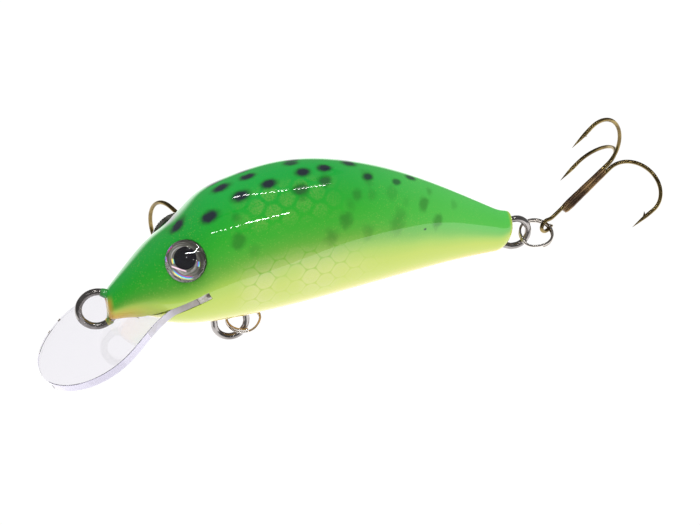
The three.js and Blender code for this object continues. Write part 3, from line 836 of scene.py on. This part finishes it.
def foil_paint(name, centre, axes):
    """Prism film: grey brushed streaks, with small runs of rainbow painted on as glints."""
    s = Shader(name)
    outward = axes[:, 2]
    fore = axes[:, 0]
    rise = np.array([0, 0, 1.0]) - outward * outward[2]
    rise /= np.linalg.norm(rise)
    local = s.vector("SUBTRACT", s.millimetres(), tuple(centre))
    u = s.vector("DOT_PRODUCT", local, tuple(fore))
    v = s.vector("DOT_PRODUCT", local, tuple(rise))
    # The dome makes the film look larger, so places on it are given as they are seen.
    u, v = s.times(u, DOME_GAIN), s.times(v, DOME_GAIN)
    radius = s.vector("LENGTH", s.join(u, v))
    turn = s.math("ARCTAN2", v, u)
    streak = s.noise(1.0, 3.0, s.join(s.times(radius, 4.2), s.times(turn, 0.55), 3.0))
    grey = s.ramp(streak, [(0.30, srgb(50, 52, 44)), (0.46, srgb(94, 95, 84)), (0.56, srgb(122, 121, 112)),
                           (0.68, srgb(192, 188, 190))])
    # Painted shade and dark reflection of the dome's side wall: darker towards the tail side, a thin dark
    # ring where the dome's seat ends, and darker again at the rim.
    ring = s.times(s.step(radius, 1.94, 2.02), s.step(radius, 2.16, 2.06))
    shade = s.times(s.math("MAXIMUM", s.step(u, -0.9, -2.1), ring), 0.75)
    shade = s.math("MAXIMUM", shade, s.times(s.step(radius, 2.1, 2.3), 0.5))
    grey = s.mix(shade, grey, srgb(56, 54, 48))
    hue = s.math("FRACT", s.math("ADD", s.math("MULTIPLY_ADD", radius, 1.7, -2.95),
                                 s.times(turn, 0.18)))
    rainbow = s.ramp(hue, [
        (0.0, srgb(70, 60, 220)), (0.22, srgb(60, 200, 250)), (0.42, srgb(200, 255, 120)),
        (0.58, srgb(255, 220, 70)), (0.76, srgb(255, 120, 60)), (0.9, srgb(235, 90, 200)),
        (1.0, srgb(70, 60, 220))])

    def patch(angle, spread, inner, outer):
        """1 inside a short stretch of a ring; the angle runs from the nose side, upwards."""
        off = s.math("ABSOLUTE", s.math("SUBTRACT", turn, math.radians(angle)))
        within = s.step(off, math.radians(spread), math.radians(spread * 0.6))
        return s.times(within, s.times(s.step(radius, inner - 0.08, inner + 0.08),
                                       s.step(radius, outer + 0.08, outer - 0.08)))

    # Painted glints: runs of rainbow where the prism film catches the light, fixed on the film.
    glints = patch(-70, 40, 1.76, 2.22)
    for stretch in ((-2, 13, 1.24, 1.56), (3, 9, 2.2, 2.45), (-168, 14, 1.38, 1.72), (40, 16, 2.1, 2.3)):
        glints = s.math("MAXIMUM", glints, patch(*stretch))
    colour = s.mix(s.times(glints, s.step(streak, 0.30, 0.45, 0.8, 1.0)), grey, rainbow)
    # A pale streak under the pupil, on the nose side.
    line = s.math("ABSOLUTE", s.math("ADD", s.math("MULTIPLY_ADD", u, -0.33, 1.2), v))
    pale = s.times(s.step(line, 0.13, 0.06),
                   s.times(s.step(u, 0.0, 0.25), s.step(u, 1.8, 1.6)))
    colour = s.mix(pale, colour, srgb(252, 222, 232))
    s.bump(streak, 0.2, 0.00002)
    return s.set(Base_Color=colour, Metallic=0.35, Roughness=s.step(streak, 0.3, 0.7, 0.30, 0.45))


def build_eye(name):
    """Foil disc and pupil sunk into the clear dome above them."""
    centre, axes = eye_frames[name]
    foil_top, pupil_top = EYE_SEAT + 0.15, EYE_SEAT + 0.24
    foil = make(f"{name}_foil", *lathe([(0.01, EYE_SEAT + 0.02), (EYE_R + 0.015, EYE_SEAT + 0.02),
                                        (EYE_R + 0.015, CUP_TOP), (EYE_R - 0.03, CUP_TOP),
                                        (EYE_R - 0.06, foil_top), (0.01, foil_top)], centre, axes),
                foil_paint(f"{name}_foil", centre, axes), "lure_body", smooth=False)
    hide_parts(f"{name}_eye_foil")
    s = Shader(f"{name}_pupil")
    speck = s.noise(3000.0)
    s.bump(speck, 0.05, 0.00001)
    s.set(Base_Color=s.mix(speck, srgb(3, 3, 8), srgb(10, 10, 18)), Specular_IOR_Level=0.1,
          Roughness=s.step(speck, 0.3, 0.7, 0.35, 0.5))
    rise = np.array([0, 0, 1.0]) - axes[:, 2] * axes[2, 2]
    rise *= PUPIL_RISE / np.linalg.norm(rise)
    disc = [(0.01, foil_top - 0.05), (PUPIL_R, foil_top - 0.05), (PUPIL_R, pupil_top - 0.03),
            (PUPIL_R - 0.03, pupil_top), (0.01, pupil_top)]
    pupil = make(f"{name}_pupil", *lathe(disc, centre + rise, axes), s.owner, "lure_body", smooth=False)
    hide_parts(f"{name}_eye_pupil")
    rim = 0.15
    height = EYE_DOME - rim
    ball = (EYE_R ** 2 + height ** 2) / (2 * height)
    sweep = math.asin(EYE_R / ball)
    profile = [(0.01, EYE_SEAT + 0.06), (EYE_R, EYE_SEAT + 0.06), (EYE_R, rim - 0.06)]
    for step in range(1, 24):
        angle = sweep * (1 - step / 24)
        profile.append((ball * math.sin(angle), EYE_DOME - ball + ball * math.cos(angle)))
    profile.append((0.01, EYE_DOME))
    lens = make(f"{name}_lens", *lathe(profile, centre, axes), clear_lens, "lure_body")
    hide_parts(f"{name}_eye_lens")
    return lens


domes = bpy.data.collections.new("eye_domes")
scene.collection.children.link(domes)
for eye in ("left", "right"):
    domes.objects.link(build_eye(eye))
ARC_PATH = [(-114, -152, 298), (-40, -185, 302), (49, -202, 293), (128, -132, 310), (198, -12, 301),
            (206, 65, 287), (182, 117, 285)]
lamp_arc("lamp_arc", ARC_PATH, 11.0, 60.0, domes)


# ------------------------------------------------------------------ wire, rings and hooks

HARNESS_R = 0.42
NOSE_LOOP_R, BELLY_LOOP_R, TAIL_LOOP_R = 2.09, 1.95, 1.79
BELLY_LOOP_X, BELLY_LOOP_Z, TAIL_LOOP_X, TAIL_LOOP_Z = 15.26, -6.6, 53.62, 0.43


def nose_corner(degrees):
    reach = NOSE_LOOP_R / math.cos(math.radians(45))
    return reach * math.cos(math.radians(degrees)), reach * math.sin(math.radians(degrees)), NOSE_LOOP_R


harness_corners = [
    (8.6, 4.3, 0), (2.1, 0.98, 0.5), nose_corner(95), nose_corner(180), nose_corner(-95), (2.1, -0.98, 0.5),
    (BELLY_LOOP_X - BELLY_LOOP_R, 4.0, 0.9), (BELLY_LOOP_X - BELLY_LOOP_R, BELLY_LOOP_Z, BELLY_LOOP_R),
    (BELLY_LOOP_X + BELLY_LOOP_R, BELLY_LOOP_Z, BELLY_LOOP_R), (BELLY_LOOP_X + BELLY_LOOP_R, 1.6, 1),
    (49.4, -0.6, 1), (51.3, TAIL_LOOP_Z - TAIL_LOOP_R, 1),
    (TAIL_LOOP_X, TAIL_LOOP_Z - TAIL_LOOP_R, TAIL_LOOP_R),
    (TAIL_LOOP_X, TAIL_LOOP_Z + TAIL_LOOP_R, TAIL_LOOP_R),
    (50.6, TAIL_LOOP_Z + TAIL_LOOP_R, 0.8), (43.5, 2.0, 0),
]
vertices, faces = tube_data(np.array(rounded_route(harness_corners)) * MM, HARNESS_R * MM, 20)
harness = make("through_wire", vertices, faces, steel, "lure_body")
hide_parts("wire_harness")


def nose_collar(name, material, start, stop, grow):
    """A skin on the wire where it leaves the nose; angles run round the eyelet from its tail side."""
    angles = np.radians(np.linspace(start, stop, 14))
    points = np.column_stack([NOSE_LOOP_R * np.cos(angles), 0 * angles, NOSE_LOOP_R * np.sin(angles)])
    radii = HARNESS_R + grow * np.sin(np.linspace(0.12, 1.0, 14) * math.pi / 2)
    vertices, faces = tube_data(points * MM, radii * MM, 20)
    make(name, vertices, faces, material, "lure_body")


def dab_paint(name, first, second):
    s = Shader(name)
    blotch = s.noise(1400.0, 2.0)
    s.bump(s.noise(3000.0), 0.1, 0.00003)
    return s.set(Base_Color=s.mix(s.step(blotch, 0.35, 0.65), first, second),
                 Roughness=s.step(blotch, 0.3, 0.7, 0.25, 0.4), Coat_Weight=1.0, Coat_Roughness=0.04)


nose_green = dab_paint("nose_green", srgb(40, 160, 60), srgb(28, 120, 40))
nose_amber = dab_paint("nose_amber", srgb(216, 170, 70), srgb(96, 140, 60))
nose_collar("nose_collar_upper", nose_green, 76, 50, 0.16)
nose_collar("nose_collar_lower", nose_amber, -66, -50, 0.10)


def build_nose_plug():
    """Amber resin between the eyelet's legs, hollowed to the eyelet's inner round."""
    rows, sides = 24, 20
    vertices = []
    for row in range(rows + 1):
        z = -1.42 + 3.0 * row / rows
        fill = math.sqrt(max(0.02, 1 - ((z - 0.08) / 1.62) ** 2))
        front = 0.72 + 0.30 * fill
        for side in range(sides):
            angle = 2 * math.pi * side / sides
            c, d = math.cos(angle), math.sin(angle)
            x = 1.9 + (1.9 - front) * c if c < 0 else 1.9 + 0.3 * c
            vertices.append((x, 1.2 * fill * math.copysign(abs(d) ** 0.8, d), z))
    s = Shader("amber_resin")
    height = s.times(s.split(s.place())[2], 1000.0)
    streak = s.noise(1800.0, 3.0)
    # Amber at the top and greener at the bottom; the pale cream middle and the near-white streaks are
    # painted glints.
    tone = s.ramp(s.step(height, -1.4, 1.5), [
        (0.0, srgb(120, 160, 80)), (0.3, srgb(226, 208, 130)), (0.62, srgb(240, 226, 176)),
        (0.85, srgb(222, 160, 50)), (1.0, srgb(190, 130, 40))])
    s.bump(streak, 0.15, 0.00004)
    s.set(Base_Color=s.mix(s.step(streak, 0.55, 0.7, 0.0, 0.5), tone, srgb(252, 246, 228)),
          Roughness=s.step(streak, 0.3, 0.7, 0.08, 0.2), Transmission_Weight=0.35, IOR=1.5)
    plug = make("nose_plug", np.array(vertices) * MM, tube_faces(rows + 1, sides), s.owner, "lure_body")
    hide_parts("nose_resin_plug")


build_nose_plug()


def build_ring(name, node, body_name, centre, x_axis, normal):
    """Two flat turns of wire with a climb between them."""
    radius, wire, pitch = 2.03, 0.17, 0.37
    climb, end = math.radians(55), 4 * math.pi - math.radians(62)
    angle = np.linspace(0, end, 260)
    t = np.clip((angle - 2 * math.pi + climb) / climb, 0, 1)
    rise = t * t * (3 - 2 * t)
    local = np.column_stack([radius * np.cos(angle), radius * np.sin(angle), pitch * (rise - 0.5)])
    points = (np.array(centre) + local @ frame_of(x_axis, normal).T) * MM
    vertices, faces = tube_data(points, wire * MM, 16)
    ring = make(name, vertices, faces, ring_steel, body_name)
    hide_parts(node)


build_ring("belly_ring_coil", "belly_split_ring", "belly_ring", (17.04, 1.03, -5.08),
           (0.9, -0.4, -0.15), (-0.02, -0.363, 0.931))
build_ring("tail_ring_coil", "tail_split_ring", "tail_ring", (54.35, -0.8, 0.14),
           (0.1, -0.87, -0.5), (-0.028, -0.498, 0.867))

HOOK_WIRE, HOOK_OFFSET, HOOK_EYE_R = 0.25, 0.37, 0.82
SHANK, BEND_R, BEND_SQUASH, LEAN = 11.05, 3.76, 0.87, 0.082
POINT_LENGTH = 3.4
BRAZE_START, BRAZE_END = 2.9, 10.45


def hook_data(start):
    """One hook in its own x-z plane: shank along +x, point coming back."""
    bend = np.linspace(0, math.pi + LEAN, 48)
    shank = np.linspace(start[-1][0], SHANK, 12)[1:-1]
    points = [(x, 0, z) for x, z in start] + [(x, 0, HOOK_OFFSET) for x in shank]
    points += [(SHANK + BEND_R * BEND_SQUASH * math.sin(a), 0, HOOK_OFFSET + BEND_R * (1 - math.cos(a)))
               for a in bend]
    radii = [HOOK_WIRE] * len(points)
    direction = np.array([-math.cos(LEAN), 0, -math.sin(LEAN)])
    last = np.array(points[-1])
    for step in range(1, 17):
        along_point = POINT_LENGTH * step / 16
        points.append(last + direction * along_point)
        taper = max(0.0, (along_point - 0.9) / (POINT_LENGTH - 0.9))
        radii.append(HOOK_WIRE * (1 - taper ** 1.4) + 0.01)
    barb_root = last + direction * 1.45
    barb = [barb_root + np.array([-0.25, 0, 0.02]), barb_root + np.array([0.1, 0, -0.1]),
            barb_root + np.array([0.4, 0, -0.32]), barb_root + np.array([0.62, 0, -0.56])]
    return joined(tube_data(points, radii, 18), tube_data(barb, [0.10, 0.16, 0.10, 0.012], 10))


def eyed_start():
    angles = np.radians(np.linspace(-42, -310, 40))
    start = [(HOOK_EYE_R * math.cos(a), HOOK_EYE_R * math.sin(a)) for a in angles]
    lead = smooth_curve([start[-2] + (0,), start[-1] + (0,), (0.95, 0.42, 0), (1.5, HOOK_OFFSET, 0),
                         (2.2, HOOK_OFFSET, 0)], 5)
    return start[:-2] + [(p[0], p[1]) for p in lead]


def solder_data():
    """The three shanks' bronze-filled bundle: a three-lobed sleeve with soft ends."""
    sides, rows = 48, 40
    vertices = []
    rng = np.random.default_rng(7)
    wave = rng.uniform(0, 6.28, 3)
    for row in range(rows + 1):
        u = BRAZE_START + (BRAZE_END - BRAZE_START) * row / rows
        end = min(row, rows - row) / 3
        swell = 0.012 * math.sin(u * 2.3 + wave[0]) + 0.008 * math.sin(u * 5.1 + wave[1])
        for side in range(sides):
            angle = 2 * math.pi * side / sides
            off = (angle + math.pi / 3) % (2 * math.pi / 3) - math.pi / 3
            thin = min(1.0, max(0.0, (u - 5.5) / 3.0))
            skin = 0.315 - 0.055 * thin
            reach = math.sqrt(max(0.0, skin ** 2 - (HOOK_OFFSET * math.sin(off)) ** 2))
            lobe = HOOK_OFFSET * math.cos(off) + reach
            radius = max(lobe, 0.48 - 0.14 * thin) + swell * (1 - thin)
            radius *= 1 - 0.25 * max(0.0, 1 - end) ** 2
            vertices.append((u, radius * math.sin(angle), radius * math.cos(angle)))
    return vertices, tube_faces(rows + 1, sides)


def build_treble(name, place, shank, eyed, size=1.0):
    axes = frame_of(shank, eyed)

    def put(data, turn=0.0):
        c, s = math.cos(turn), math.sin(turn)
        spin = np.array([[1, 0, 0], [0, c, -s], [0, s, c]])
        return (np.array(place) + size * np.array(data[0]) @ spin.T @ axes.T) * MM, data[1]

    parts = [("eyed_hook", put(hook_data(eyed_start())), bronze, "bronze_wire")]
    for k in (1, 2):
        side_hook = put(hook_data([(3.1, HOOK_OFFSET)]), 2 * math.pi * k / 3)
        parts.append((f"side_hook_{k}", side_hook, bronze, "bronze_wire"))
    parts.append(("braze", put(solder_data()), solder, "braze"))
    for part, (vertices, faces), material, slot in parts:
        ending = "skin" if part == "braze" else "wire"
        piece = make(f"{name}_{part}_{ending}", vertices, faces, material, name)
        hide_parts(f"{name}_{part}")


build_treble("tail_treble", (56.1, -0.06, 0.61), (0.837, 0.18, 0.516), (-0.443, -0.331, 0.833))
build_treble("belly_treble", (15.74, 2.8, -4.41), (-0.464, 0.824, 0.325), (0.084, -0.324, 0.942), 1.06)
